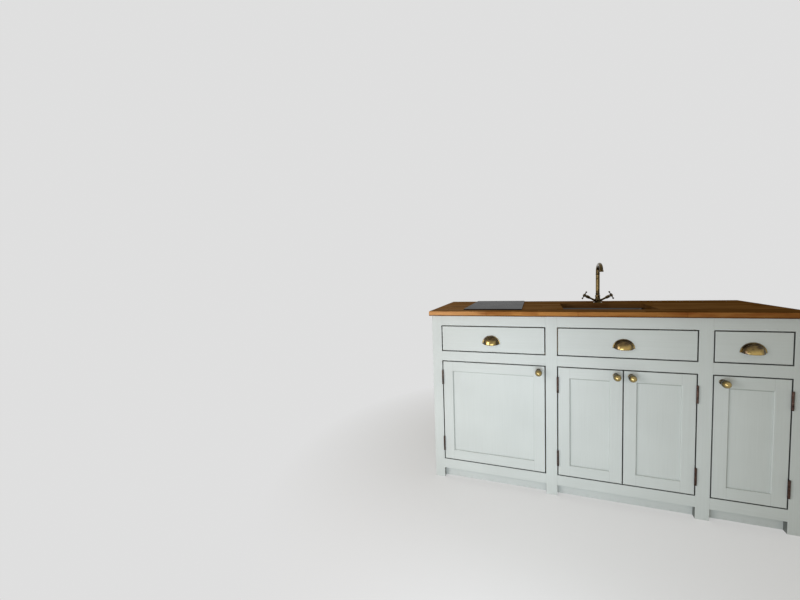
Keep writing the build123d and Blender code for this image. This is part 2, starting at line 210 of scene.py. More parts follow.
class Finish(Nodes):
    """A material round one Principled shader, with constants on its sockets."""

    def __init__(self, name, **constants):
        self.material = bpy.data.materials.new(name)
        self.material.use_nodes = True
        super().__init__(self.material.node_tree)
        self.shader = next(node for node in self.tree.nodes if node.type == "BSDF_PRINCIPLED")
        for socket, value in constants.items():
            self.shader.inputs[socket.replace("_", " ")].default_value = value
        self.place = self.node("TexCoord", output="Object")
        self.x, self.y, self.z = self.parts(self.place)

    def parts(self, vector):
        return [self.node("SeparateXYZ", inputs={0: vector}, output=i) for i in range(3)]

    def joined(self, x, y, z):
        return self.node("CombineXYZ", inputs={0: x, 1: y, 2: z})

    def facing(self, axis):
        """How much the surface looks along an axis, either way, from 0 to 1."""
        return abs(self.parts(self.node("TexCoord", output="Normal"))[axis])

    def noise(self, scales, detail=3.0, roughness=0.55):
        """Noise from 0 to 1 with its own scale along each axis."""
        stretched = self.node("Mapping", inputs={"Vector": self.place, "Scale": scales})
        return self.plain_noise(stretched, detail, roughness)

    def plain_noise(self, vector, detail, roughness):
        return self.node("TexNoise", inputs={
            "Vector": vector, "Scale": 1.0, "Detail": detail, "Roughness": roughness})

    def chance(self, number):
        """A random value from 0 to 1 for a whole number."""
        return self.node("TexWhiteNoise", {"noise_dimensions": "1D"}, {"W": number})

    def fade(self, value, start, end, low=1.0, high=0.0):
        """Go from one level to another as a value passes from start to end."""
        return self.node("MapRange", inputs={0: value, 1: start, 2: end, 3: low, 4: high})

    def between(self, value, low, high):
        """1 where a value lies between two others, else 0."""
        return (value > low) * (value < high)

    def away_from(self, x, y):
        """The level distance from an upright line."""
        off_x = self.x - x
        off_y = self.y - y
        return (off_x * off_x + off_y * off_y) ** 0.5

    def ramp(self, value, stops):
        return self.node("ValToRGB", {"stops": stops}, {0: value})

    def feed(self, **wires):
        """Link wires to the shader's sockets."""
        for socket, wire in wires.items():
            self.tree.links.new(wire.socket, self.shader.inputs[socket.replace("_", " ")])

    def show(self, surface):
        """Send another shader than the Principled one to the output."""
        output = next(node for node in self.tree.nodes if node.type == "OUTPUT_MATERIAL")
        self.tree.links.new(surface.socket, output.inputs["Surface"])

    def mixed_with(self, other, share):
        """Show the Principled shader with a share of another one."""
        own = Wire(self, self.shader.outputs[0])
        self.show(self.node("MixShader", inputs={0: share, 1: own, 2: other}))

    def bump(self, height, distance):
        """Raise the surface by a height from 0 to 1 times a distance."""
        self.feed(Normal=self.node("Bump", inputs={"Height": height, "Distance": distance, "Strength": 1.0}))


# The paint

SAGE = srgb(203, 208, 204)
SAGE_LIGHT = srgb(208, 213, 209)
SAGE_THIN = srgb(188, 193, 186)
# Joint lines, and the painted shade along the panels' grooves
SAGE_JOINT_AND_SHADE = srgb(138, 143, 134)
# Painted shade on the sides that lie in the gaps
SAGE_SHADED = srgb(84, 88, 83)
SAGE_SCUFFED = srgb(150, 148, 136)

BRUSH_MARKS = {0: (4, 420, 420), 2: (420, 420, 4)}
SCUFF_HEIGHT = 22 * MM
HAIRLINE = 0.35 * MM
DOOR_BORDER = 50 * MM
FRONT_EASING = 0.3 * MM
RAIL_OVERLAP = 3 * MM
PAINT_RELIEF = 0.06 * MM
END_FACES = 1 * MM
GAP_SHADE_STARTS, GAP_SHADE_FULL = 0.3 * MM, 2 * MM
# Painted shade along a panel's top and left grooves, and a fine line on its other sides: where each fades from
# and to, then its first and last strength
TOP_GROOVE_SHADE = (2.5 * MM, 6.5 * MM, 1.4, 0.0)
LEFT_GROOVE_SHADE = (1.2 * MM, 5.0 * MM, 1.15, 0.0)
THIN_GROOVE = (0.3 * MM, 1.2 * MM, 0.4, 0.0)

FRAME_SIDES_SHADE = 0.9
FRONT_SIDES_SHADE = 0.62
JOINT_SHADE = 0.62


def frame_gap_sides(coat):
    """The sides of the face frame that look into its openings, with the strength of the painted shade on them.
    """
    inner = (abs(coat.x) < run_end - END_FACES) * (coat.facing(1) < 0.5) * (coat.y < frame_back)
    return inner * FRAME_SIDES_SHADE


def front_sides(node):
    """The four narrow sides of a door or a drawer front, with the strength of the painted shade on them."""
    low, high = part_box(node)

    def sides(coat):
        inside_x = coat.between(coat.x, low.x + FRONT_EASING, high.x - FRONT_EASING)
        inside_z = coat.between(coat.z, low.z + FRONT_EASING, high.z - FRONT_EASING)
        return (1 - inside_x * inside_z) * FRONT_SIDES_SHADE

    return sides


def paint_coat(name, streaks_for, joints_and_shade_for=None, sides_for=frame_gap_sides):
    """Sage paint on timber: its brush streaks, the lines of its joints with any painted shade along them, and
    painted shade on the sides that lie in the gaps.
    """
    coat = Finish(name)
    streaks = streaks_for(coat)
    cloud = coat.noise((3.5, 3.5, 3.5), detail=2.0)
    grain = coat.noise((60, 60, 60), detail=4.0)
    colour = coat.tint(coat.fade(cloud, 0.35, 0.65, 0.0, 1.0), SAGE, SAGE_LIGHT)
    colour = coat.tint(coat.fade(streaks, 0.40, 0.72, 0.0, 0.24), colour, SAGE_THIN)
    scuffed = coat.fade(coat.z, 0.0, SCUFF_HEIGHT, 0.20, 0.0) * coat.fade(grain, 0.45, 0.70, 0.0, 1.0)
    colour = coat.tint(scuffed, colour, SAGE_SCUFFED)
    height = streaks * 0.6 + grain * 0.25
    # Painted shade on the sides that lie in the gaps, from just behind the front face
    shaded = sides_for(coat) * coat.fade(
        coat.y, frame_front + GAP_SHADE_STARTS, frame_front + GAP_SHADE_FULL, 0.0, 1.0)
    colour = coat.tint(shaded, colour, SAGE_SHADED)
    # Joint lines, and painted shade in the panels' grooves
    if joints_and_shade_for:
        lines = joints_and_shade_for(coat)
        colour = coat.tint(lines * JOINT_SHADE, colour, SAGE_JOINT_AND_SHADE)
        height = height - lines * 2.0
    coat.feed(Base_Color=colour, Roughness=coat.fade(streaks, 0.3, 0.7, 0.41, 0.52))
    coat.bump(height, PAINT_RELIEF)
    return coat.material


def brush_streaks(coat, axis):
    return coat.noise(BRUSH_MARKS[axis], detail=4.0, roughness=0.62)


def brushed_along(axis):
    return lambda coat: brush_streaks(coat, axis)


def door_paint(door):
    """Paint on a door's frame: brushed up its stiles and across its rails, a fine line where they meet."""
    low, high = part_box(f"{door}_frame")
    inner = (low.x + DOOR_BORDER, high.x - DOOR_BORDER)
    rail_edges = (low.z + DOOR_BORDER, high.z - DOOR_BORDER)

    def rails(coat):
        inside = coat.between(coat.x, *inner)
        return inside * (1 - coat.between(coat.z, rail_edges[0] + RAIL_OVERLAP, rail_edges[1] - RAIL_OVERLAP))

    def streaks(coat):
        upright = brush_streaks(coat, 2)
        across = brush_streaks(coat, 0)
        mask = rails(coat)
        return upright * (1 - mask) + across * mask

    def lines(coat):
        nearest = abs(coat.x - inner[0]).smallest(abs(coat.x - inner[1]))
        rows = 1 - coat.between(coat.z, *rail_edges)
        return coat.fade(nearest, HAIRLINE * 0.4, HAIRLINE) * rows * (coat.facing(1) > 0.5)

    return paint_coat(f"{door}_paint", streaks, lines, front_sides(f"{door}_frame"))


def panel_paint(door):
    """Paint on a door's flat panel, with painted shade where it goes under the frame, most of all at the top
    and left, and a fine line along its foot and right side.
    """
    low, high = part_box(f"{door}_frame")

    def groove_shade_and_joint_lines(coat):
        # The painted shade grows stronger towards the right end of the run
        far = coat.fade(coat.x, -run_end, 0.0, 0.55, 1.0)
        top = coat.fade(high.z - DOOR_BORDER - coat.z, *TOP_GROOVE_SHADE) * far
        left = coat.fade(coat.x - low.x - DOOR_BORDER, *LEFT_GROOVE_SHADE) * far
        foot = coat.fade(coat.z - low.z - DOOR_BORDER, *THIN_GROOVE)
        right = coat.fade(high.x - DOOR_BORDER - coat.x, *THIN_GROOVE)
        return top.largest(left).largest(foot).largest(right)

    return paint_coat(f"{door}_panel_paint", brushed_along(2), groove_shade_and_joint_lines)


# The timber

STAVE_WIDTH = 40 * MM
STAVE_SHORTEST, STAVE_SPREAD = 0.22, 0.24
FIRST_STAVE_SHIFT = 0.4
PITH_DEPTH = 32 * MM
RING_RADIANS_PER_METRE = 2600
# The glue lines fade between these shares of a stave's width and of its length
GLUE_FADE_ACROSS, GLUE_FADE_ALONG = (0.004, 0.010), (0.0012, 0.0030)
OAK_FIGURE_WAVES, BIRCH_FIGURE_WAVES = 46, 40
FRONT_EDGE_ENDS, TOP_BEGINS = 6 * MM, 10 * MM
ARRIS_DARKEST, ARRIS_ENDS = 2 * MM, 7 * MM
OAK_BY_SHADE = ((0.0, srgb(242, 194, 154)), (0.34, srgb(230, 176, 124)), (0.60, srgb(196, 138, 76)),
                (1.0, srgb(122, 76, 32)))
OAK_DARK_GRAIN = srgb(126, 74, 34)
OAK_RED_STREAK = srgb(120, 62, 28)
OAK_PORES = srgb(78, 46, 22)
OAK_GLUE = srgb(84, 48, 22)
# The next three are painted shade: on the top face, on the cut edges round the bowl along with water staining,
# and along the lower arris
OAK_TOP_PAINTED_SHADE = srgb(98, 70, 32)
OAK_WET_AND_SHADED_EDGE = srgb(78, 56, 26)
OAK_ARRIS_PAINTED_SHADE = srgb(62, 38, 20)
WOOD_RELIEF = 0.05 * MM

DRAWER_BOARD = 12 * MM
DOVETAILS = 4
DOVETAIL_NECK, DOVETAIL_FLARE = 0.20, 9.0
GRAIN_SCALE_ACROSS, GRAIN_SCALE_ALONG = 130, 4
BIRCH_PALE = srgb(214, 190, 152)
BIRCH_FIGURE = srgb(196, 166, 124)
BIRCH_GRAIN = srgb(180, 148, 106)
DRAWER_BIRCH_PALE = srgb(216, 192, 154)
DRAWER_BIRCH_GRAIN = srgb(184, 152, 110)
DRAWER_END_GRAIN = srgb(150, 116, 76)


def stave_pattern(oak):
    """Where a place lies in its row of staves and along its stave, and two random values for each stave."""
    step = (oak.y - worktop_low.y) / STAVE_WIDTH + FIRST_STAVE_SHIFT
    row = math.floor(step)
    luck = oak.chance(row + 3.0)
    run = oak.x / (STAVE_SHORTEST + STAVE_SPREAD * luck) + luck * 9.0
    stave = row * 7.31 + math.floor(run) * 3.17
    return step, run, oak.chance(stave), oak.chance(stave + 41.7)


def end_rings(oak, step, tone, other):
    """The growth rings that show at the ends of the staves."""
    pith = oak.z - worktop_low.z + PITH_DEPTH * other
    sideways = (step - math.floor(step) - 0.5 + (tone - 0.5) * 1.6) * STAVE_WIDTH
    radius = (pith * pith + sideways * sideways) ** 0.5
    return (radius * RING_RADIANS_PER_METRE).sine() * 0.5 + 0.5


def glue_lines(oak, step, run):
    """The fine lines between the rows of staves and between one stave and the next."""
    across = step - math.floor(step) - 0.5
    glue = oak.fade(0.5 - abs(across), *GLUE_FADE_ACROSS)
    butt = run - math.floor(run) - 0.5
    return glue.largest(oak.fade(0.5 - abs(butt), *GLUE_FADE_ALONG))


def oiled_oak():
    """Glued oak staves that run along the worktop, with end grain at its ends."""
    oak = Finish("oiled_oak", Specular_IOR_Level=0.0)
    step, run, tone, other = stave_pattern(oak)
    # Each stave's own random tone, with painted shade that darkens the staves towards the right end
    shade = tone * 0.54 + oak.fade(oak.x, -run_end * 0.9, run_end * 0.9, 0.04, 0.46)
    drift = oak.joined(oak.x * 2.6 + tone * 31, oak.y * 34 + other * 17, oak.z * 34 + tone * 5)
    flow = oak.plain_noise(drift, 2.5, 0.5)
    figure = (flow * OAK_FIGURE_WAVES).sine() * 0.5 + 0.5
    fine = oak.noise((9, 420, 420), detail=4.0, roughness=0.65)
    pores = oak.fade(oak.noise((38, 1500, 1500), detail=2.0), 0.60, 0.72, 0.0, 1.0)
    rings = end_rings(oak, step, tone, other)
    ends = oak.facing(0) > 0.6
    colour = oak.ramp(shade, OAK_BY_SHADE)
    colour = oak.tint(figure * 0.12 * (1 - ends) + rings * 0.5 * ends, colour, OAK_DARK_GRAIN)
    colour = oak.tint(oak.fade(fine, 0.46, 0.74, 0.0, 0.30), colour, OAK_DARK_GRAIN)
    colour = oak.tint(pores * 0.36, colour, OAK_PORES)
    cloud = oak.noise((5.0, 16, 16))
    colour = oak.tint(oak.fade(cloud, 0.48, 0.68, 0.0, 0.55), colour, OAK_DARK_GRAIN)
    streak = oak.noise((11, 90, 90))
    colour = oak.tint(oak.fade(streak, 0.50, 0.66, 0.0, 0.45), colour, OAK_RED_STREAK)
    # Painted shade on the top face, darker towards the right end
    painted_top_shade = (oak.facing(2) > 0.7) * oak.fade(oak.x, -run_end, 0.0, 0.30, 0.58)
    colour = oak.tint(painted_top_shade, colour, OAK_TOP_PAINTED_SHADE)
    glue = glue_lines(oak, step, run)
    colour = oak.tint(glue * 0.6, colour, OAK_GLUE)
    # Painted shade along the lower arris of the front edge
    front = oak.fade(oak.y, worktop_low.y + FRONT_EDGE_ENDS, worktop_low.y + TOP_BEGINS)
    arris_shade = oak.fade(oak.z, worktop_low.z + ARRIS_DARKEST, worktop_low.z + ARRIS_ENDS, 0.8, 0.0) * front
    # The cut edges round the bowl are darker: water staining, with painted shade
    around_bowl = oak.between(oak.x, bowl_low.x, bowl_high.x) * oak.between(oak.y, bowl_low.y, bowl_high.y)
    wet_and_shaded = around_bowl * (oak.facing(2) < 0.5) * 0.62
    colour = oak.tint(wet_and_shaded, colour, OAK_WET_AND_SHADED_EDGE)
    colour = oak.tint(arris_shade, colour, OAK_ARRIS_PAINTED_SHADE)
    oak.feed(Base_Color=colour, Roughness=oak.fade(fine + pores * 0.3, 0.3, 0.9, 0.62, 0.80))
    oak.bump(fine * 0.5 - pores * 0.5 - glue * 0.5, WOOD_RELIEF)
    return oak.material


def birch(name, axis):
    """Plain lacquered birch with its grain along one axis."""
    wood = Finish(name, Roughness=0.5)
    scales = [GRAIN_SCALE_ACROSS] * 3
    scales[axis] = GRAIN_SCALE_ALONG
    grain = wood.noise(scales, detail=4.0)
    broad = wood.noise([scale / 6 for scale in scales], detail=2.0)
    figure = (broad * BIRCH_FIGURE_WAVES).sine() * 0.5 + 0.5
    colour = wood.tint(figure * 0.35, BIRCH_PALE, BIRCH_FIGURE)
    colour = wood.tint(wood.fade(grain, 0.45, 0.75, 0.0, 0.5), colour, BIRCH_GRAIN)
    wood.feed(Base_Color=colour)
    wood.bump(grain, WOOD_RELIEF)
    return wood.material


def drawer_birch(drawer):
    """Birch for a drawer box: its sides run back, its ends run across, and dovetails lock their corners."""
    low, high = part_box(f"{drawer}_box")
    wood = Finish(f"{drawer}_birch", Roughness=0.5)
    ends = 1 - wood.between(wood.y, low.y + DRAWER_BOARD, high.y - DRAWER_BOARD)
    sides = 1 - wood.between(wood.x, low.x + DRAWER_BOARD, high.x - DRAWER_BOARD)
    back = wood.noise((GRAIN_SCALE_ACROSS, GRAIN_SCALE_ALONG, GRAIN_SCALE_ACROSS), detail=4.0)
    across = wood.noise((GRAIN_SCALE_ALONG, GRAIN_SCALE_ACROSS, GRAIN_SCALE_ACROSS), detail=4.0)
    grain = back * sides + across * (1 - sides)
    reach = abs(wood.y - (low.y + high.y) / 2) - ((high.y - low.y) / 2 - DRAWER_BOARD)
    phase = (wood.z - low.z) / ((high.z - low.z) / DOVETAILS)
    middle = abs(phase - math.floor(phase) - 0.5)
    tail = (middle < (DOVETAIL_NECK + reach * DOVETAIL_FLARE)) * ends * (wood.facing(0) > 0.5)
    colour = wood.tint(wood.fade(grain, 0.40, 0.75, 0.0, 0.6), DRAWER_BIRCH_PALE, DRAWER_BIRCH_GRAIN)
    colour = wood.tint(tail * 0.55, colour, DRAWER_END_GRAIN)
    wood.feed(Base_Color=colour)
    wood.bump(grain, WOOD_RELIEF)
    return wood.material


# The metal and the glass

GUNMETAL_DARK, GUNMETAL_LIGHT = srgb(70, 68, 66), srgb(96, 94, 91)
SHEET_DARK, SHEET_LIGHT = srgb(46, 47, 48), srgb(66, 67, 68)
BLACK_GLASS, GLASS_PRINT = srgb(14, 14, 16), srgb(150, 152, 154)
METAL_RELIEF = 0.015 * MM
BRUSHED_RELIEF = 0.01 * MM
# Heights and depths where the rubbed, painted highlight gives way to painted shade on the cups and knobs
PULL_RUBBED_AND_LIT, PULL_DARK = 10 * MM, 28 * MM
PULL_RIM_STARTS, PULL_RIM_DARK = 4 * MM, 2 * MM
KNOB_RUBBED_AND_LIT, KNOB_DARK = 4 * MM, 20 * MM

COOKING_RINGS = ((165 * MM, 72 * MM), (360 * MM, 90 * MM))
RING_LINES = ((1.0, 1.0), (0.55, 0.35))
RING_LINE_FADE = (0.35 * MM, 0.7 * MM)
TOUCH_MARKS = (-72 * MM, -36 * MM, 0.0, 36 * MM, 72 * MM)
TOUCH_LINE_FADE = (0.25 * MM, 0.5 * MM)
TOUCH_MARKS_BACK = 32 * MM
TOUCH_MARK_RADIUS = 4.5 * MM
MATT_SHARE = 0.68


def aged_metal(name, bright, dark, smooth, rough, wear_and_painted_light=None, lacquer=0.0):
    """Metal with a brown patina in clouds, rougher where it is dark, and brighter where hands have rubbed it.
    An optional function gives how far the patina and a painted shade have gone, from 0 to 1, at each place,
    with a painted highlight where it stays low."""
    metal = Finish(name, Metallic=1.0, Coat_Weight=lacquer)
    cloud = metal.noise((55, 55, 55), detail=5.0, roughness=0.6)
    speck = metal.noise((600, 600, 600), detail=2.0)
    patina = metal.fade(cloud + (speck - 0.5) * 0.25, 0.40, 0.66, 0.0, 1.0)
    if wear_and_painted_light:
        patina = (patina * 0.35 + wear_and_painted_light(metal) * 0.8).smallest(1.0)
    metal.feed(Base_Color=metal.tint(patina, bright, dark),
               Roughness=metal.fade(patina, 0.0, 1.0, smooth, rough))
    metal.bump(speck, METAL_RELIEF)
    return metal.material


def pull_wear_and_painted_light(metal):
    """The tops, ends and rims of the cups are darkened as painted shade, and their lips are rubbed and
    brightened as a painted highlight.
    """
    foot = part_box("cup_pull_middle")[0].z
    ends = metal.fade(metal.facing(0), 0.24, 0.62, 0.0, 1.0)
    rim = metal.fade(metal.y, frame_front - PULL_RIM_STARTS, frame_front - PULL_RIM_DARK, 0.0, 1.0)
    return metal.fade(metal.z, foot + PULL_RUBBED_AND_LIT, foot + PULL_DARK, 0.0, 1.0).largest(ends).largest(rim)


def knob_wear_and_painted_light(metal):
    """The ends of the knobs are rubbed and brightened as a painted highlight, and their necks are darkened as
    painted shade.
    """
    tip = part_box("door_left_knob")[0].y
    return metal.fade(metal.y, tip + KNOB_RUBBED_AND_LIT, tip + KNOB_DARK, 0.0, 1.0)


def gunmetal_steel():
    """Pressed stainless steel with a dark gunmetal coat, brushed round the bowl."""
    steel = Finish("gunmetal_steel", Metallic=1.0)
    brushing = steel.noise((9, 9, 900))
    steel.feed(Base_Color=steel.tint(brushing, GUNMETAL_DARK, GUNMETAL_LIGHT),
               Roughness=steel.fade(brushing, 0.3, 0.7, 0.30, 0.44))
    steel.bump(brushing, BRUSHED_RELIEF)
    return steel.material


def printed_glass():
    """Black glass with two plain cooking rings and a row of touch marks printed on it."""
    glass = Finish("printed_black_glass", Specular_IOR_Level=0.3)
    low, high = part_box("hob_glass")
    middle = (low.x + high.x) / 2
    print_mask = 0.0
    for back, radius in COOKING_RINGS:
        away = glass.away_from(middle, low.y + back)
        for size, weight in RING_LINES:
            line = glass.fade(abs(away - radius * size), *RING_LINE_FADE)
            print_mask = line * weight + print_mask
    for place in TOUCH_MARKS:
        away = glass.away_from(middle + place, low.y + TOUCH_MARKS_BACK)
        print_mask = glass.fade(abs(away - TOUCH_MARK_RADIUS), *TOUCH_LINE_FADE) + print_mask
    print_mask = print_mask.smallest(1.0) * (glass.facing(2) > 0.9)
    smear = glass.noise((14, 14, 14), detail=4.0)
    colour = glass.tint(print_mask * 0.7, BLACK_GLASS, GLASS_PRINT)
    glass.feed(Base_Color=colour, Roughness=glass.fade(smear, 0.40, 0.75, 0.12, 0.20))
    matt = glass.node("BsdfPrincipled", inputs={
        "Base Color": colour, "Roughness": 0.6, "Specular IOR Level": 0.0})
    glass.mixed_with(matt, MATT_SHARE)
    return glass.material


def sheet_metal():
    """Dark coated sheet for the housing under the hob."""
    sheet = Finish("dark_sheet", Metallic=0.6)
    speck = sheet.noise((400, 400, 400), detail=2.0)
    sheet.feed(Base_Color=sheet.tint(speck, SHEET_DARK, SHEET_LIGHT),
               Roughness=sheet.fade(speck, 0.3, 0.7, 0.42, 0.6))
    return sheet.material


# Shapes

SMALLEST_EDGE = 1e-6
SMOOTH_BELOW = math.radians(38)


def profile_mm(*points):
    """A profile as (radius, distance along the axis), from points in millimetres."""
    return [(radius * MM, distance * MM) for radius, distance in points]


def skin(form, rows, closed=True):
    """Join rows of points with quads. Closed rows run round to where they start."""
    made = [[form.verts.new(point) for point in row] for row in rows]
    span = len(rows[0]) - (0 if closed else 1)
    for lower, upper in zip(made, made[1:]):
        for i in range(span):
            j = (i + 1) % len(lower)
            form.faces.new((lower[i], lower[j], upper[j], upper[i]))


def ring(centre, across, other, radius, sides):
    turns = [2 * math.pi * i / sides for i in range(sides)]
    return [centre + (across * math.cos(turn) + other * math.sin(turn)) * radius for turn in turns]


def turned(form, origin, axis, profile, sides, hollow=False):
    """Turn a profile about an axis. A hollow one runs round to where it starts."""
    across = axis.orthogonal().normalized()
    other = axis.cross(across)
    points = list(profile) + ([profile[0]] if hollow else [])
    skin(form, [ring(origin + axis * distance, across, other, radius, sides) for radius, distance in points])


def flowing(points, steps=6):
    """Points along a smooth line through the given points of a profile."""
    ends = [points[0], *points, points[-1]]
    line = []
    for a, b, c, d in zip(ends, ends[1:], ends[2:], ends[3:]):
        for i in range(steps):
            t = i / steps
            line.append(tuple(
                0.5 * (2 * q + (r - p) * t + (2 * p - 5 * q + 4 * r - s) * t * t
                       + (3 * q - p - 3 * r + s) * t ** 3)
                for p, q, r, s in zip(a, b, c, d)))
    return line + [points[-1]]


def swept(form, route, radii, side, sides):
    """A round bar along points that lie in one plane, across which the side vector points."""
    rows = []
    for i, (point, radius) in enumerate(zip(route, radii)):
        along = (route[min(i + 1, len(route) - 1)] - route[max(i - 1, 0)]).normalized()
        rows.append(ring(point, side, along.cross(side), radius, sides))
    skin(form, rows)


def block(form, low, high, easing):
    """A board with eased edges between two corners."""
    made = bmesh.ops.create_cube(form, size=1.0)["verts"]
    for vert in made:
        vert.co = Vector([low[i] + (vert.co[i] + 0.5) * (high[i] - low[i]) for i in range(3)])
    edges = list({edge for vert in made for edge in vert.link_edges})
    bmesh.ops.bevel(form, geom=edges, offset=easing, segments=2, profile=0.5, affect="EDGES")


def put(name, form, material, body, stands_for=(), solid=True):
    """Make a piece of a form: its finish, the body it rides on and the nodes that it stands for.
    The open ends of a solid one are filled."""
    bmesh.ops.remove_doubles(form, verts=form.verts, dist=SMALLEST_EDGE)
    if solid:
        bmesh.ops.holes_fill(form, edges=[edge for edge in form.edges if edge.is_boundary], sides=0)
        bmesh.ops.recalc_face_normals(form, faces=form.faces)
    mesh = bpy.data.meshes.new(name)
    form.to_mesh(mesh)
    form.free()
    mesh.shade_smooth()
    mesh.set_sharp_from_angle(angle=SMOOTH_BELOW)
    mesh.materials.append(material)
    piece = bpy.data.objects.new(name, mesh)
    scene.collection.objects.link(piece)
    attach(piece, body)
    if stands_for:
        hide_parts(*stands_for)
    return piece


def add_wall(piece, thickness):
    """Thicken an open skin on the side that its faces look to."""
    wall = piece.modifiers.new("wall", "SOLIDIFY")
    wall.thickness = thickness
    wall.offset = 1.0


# Cup pulls and knobs

PULL_HEIGHT = 41 * MM
PULL_RIM = 6 * MM
PULL_RIM_THICKNESS = 1.6 * MM
PULL_RIM_STEPS = ((0.10, 1.0), (0.62, 0.8), (0.80, 1.0), (0.94, 0.9), (1.0, 0.5))
PULL_LIP_DROP = 5 * MM
PULL_WALL = 1.4 * MM
PULL_BEAD_RADIUS = 0.9 * MM
PULL_BEAD_RISE = 0.6 * MM
PULL_COLUMNS, PULL_ROWS = 48, 20
PULL_CROWDING = 0.9
PULL_TURNS = [math.pi * i / PULL_COLUMNS for i in range(PULL_COLUMNS + 1)]

KNOB_ROSE = profile_mm((0, 0), (12, 0), (12, 1.2), (11.2, 2.0), (9.8, 2.3))
KNOB_EGG = profile_mm(
    (9.6, 2.8), (8.2, 4.4), (7.4, 8.0), (7.8, 12.0), (10.2, 16.0), (13.4, 21.0), (15.4, 27.0), (16.0, 33.0),
    (15.4, 39.0), (13.6, 44.6), (10.6, 49.2), (6.2, 52.6), (2.6, 53.8))


def cup_pull(name, node, body, brass):
    """A pressed cup on a narrow rim, open below, with its lip dropped at the front and a bead along it."""
    low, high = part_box(node)
    centre = Vector(((low.x + high.x) / 2, frame_front, high.z - PULL_HEIGHT))
    wide = (high.x - low.x) / 2 - PULL_RIM
    tall = PULL_HEIGHT - PULL_RIM
    swell = frame_front - low.y - PULL_RIM_THICKNESS

    def cup_row(lift):
        """Points over the cup, from one end to the other, at one angle up from its lip."""
        row = []
        for turn in PULL_TURNS:
            ahead = math.sin(turn) * math.cos(lift)
            drop = PULL_LIP_DROP * ahead * math.cos(lift) ** 2
            row.append(centre + Vector((
                -wide * math.cos(turn), -PULL_RIM_THICKNESS - swell * ahead,
                tall * math.sin(turn) * math.sin(lift) - drop)))
        return row

    def rim_row(share, stand):
        """Points round the rim: share 0 is the foot of the cup and 1 the outer edge."""
        return [centre + Vector((
            -(wide + PULL_RIM * share) * math.cos(turn), -stand,
            (tall + PULL_RIM * share) * math.sin(turn))) for turn in PULL_TURNS]

    rows = [cup_row(math.pi / 2 * (i / PULL_ROWS) ** PULL_CROWDING) for i in range(PULL_ROWS + 1)]
    rows += [rim_row(share, PULL_RIM_THICKNESS * stand) for share, stand in PULL_RIM_STEPS]
    form = bmesh.new()
    skin(form, rows, closed=False)
    add_wall(put(name, form, brass, body, [node], solid=False), PULL_WALL)
    bead = bmesh.new()
    lip = [point + Vector((0, PULL_BEAD_RADIUS * math.sin(turn), PULL_BEAD_RISE))
           for point, turn in zip(rows[0], PULL_TURNS)][1:-1]
    swept(bead, lip, [PULL_BEAD_RADIUS] * len(lip), UP, sides=12)
    put(f"{name}_lip", bead, brass, body)


def knob(name, node, body, brass):
    """An egg-shaped knob on a waisted neck and a stepped rose."""
    low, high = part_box(node)
    centre = Vector(((low.x + high.x) / 2, frame_front, (low.z + high.z) / 2))
    reach = frame_front - low.y
    head = (high.x - low.x) / 2
    outline = KNOB_ROSE + flowing(KNOB_EGG)
    profile = [(min(radius, head), min(distance, reach)) for radius, distance in outline]
    form = bmesh.new()
    turned(form, centre, -DEEP, profile + [(0, reach)], sides=48)
    put(name, form, brass, body, [node])


# Butt hinges

KNUCKLE_RADIUS = 4.5 * MM
KNUCKLE_COUNT = 5
KNUCKLE_GAP = 0.3 * MM
KNUCKLE_CHAMFER = 0.45 * MM
HINGE_HEIGHT = 76 * MM
PIN_RADIUS = 2 * MM
PIN_EASING = 0.1 * MM
KNUCKLE_BORE = PIN_RADIUS * 1.08
KNUCKLE_END = KNUCKLE_RADIUS - KNUCKLE_CHAMFER
LEAF_NEAR, LEAF_FAR = 0.3 * MM, 2.5 * MM
LEAF_EASING, NECK_EASING = 0.25 * MM, 0.2 * MM
LEAF_WIDTH = 19 * MM
HINGE_SCREWS = ((8 * MM, -27 * MM), (13 * MM, 0.0), (8 * MM, 27 * MM))
SCREW_HEAD = profile_mm((0, -0.5), (3.4, -0.5), (3.4, 0.02), (3.1, 0.10), (0, 0.12))


def hinge_leaf(form, pin, middle, side, moving):
    """One leaf with its knuckles and screws. The side is -1 for a door that hangs on its left."""
    hand = -side if moving else side
    near, far = sorted((pin.x + hand * LEAF_NEAR, pin.x + hand * LEAF_FAR))
    base, top = middle - HINGE_HEIGHT / 2, middle + HINGE_HEIGHT / 2
    block(form, (near, frame_front, base), (far, frame_front + LEAF_WIDTH, top), LEAF_EASING)
    length = (HINGE_HEIGHT - (KNUCKLE_COUNT - 1) * KNUCKLE_GAP) / KNUCKLE_COUNT
    for place in range(1 if moving else 0, KNUCKLE_COUNT, 2):
        start = base + place * (length + KNUCKLE_GAP)
        block(form, (near, pin.y, start), (far, frame_front, start + length), NECK_EASING)
        turned(form, Vector((pin.x, pin.y, start)), UP, [
            (KNUCKLE_BORE, 0), (KNUCKLE_END, 0), (KNUCKLE_RADIUS, KNUCKLE_CHAMFER),
            (KNUCKLE_RADIUS, length - KNUCKLE_CHAMFER), (KNUCKLE_END, length), (KNUCKLE_BORE, length)],
            sides=28, hollow=True)
    if not moving:
        turned(form, Vector((pin.x, pin.y, base)), UP, [
            (0, 0), (PIN_RADIUS, PIN_EASING), (PIN_RADIUS, HINGE_HEIGHT - PIN_EASING), (0, HINGE_HEIGHT)],
            sides=20)
    for back, rise in HINGE_SCREWS:
        centre = Vector((pin.x + hand * LEAF_NEAR, frame_front + back, middle + rise))
        turned(form, centre, ALONG * -hand, SCREW_HEAD, sides=20)


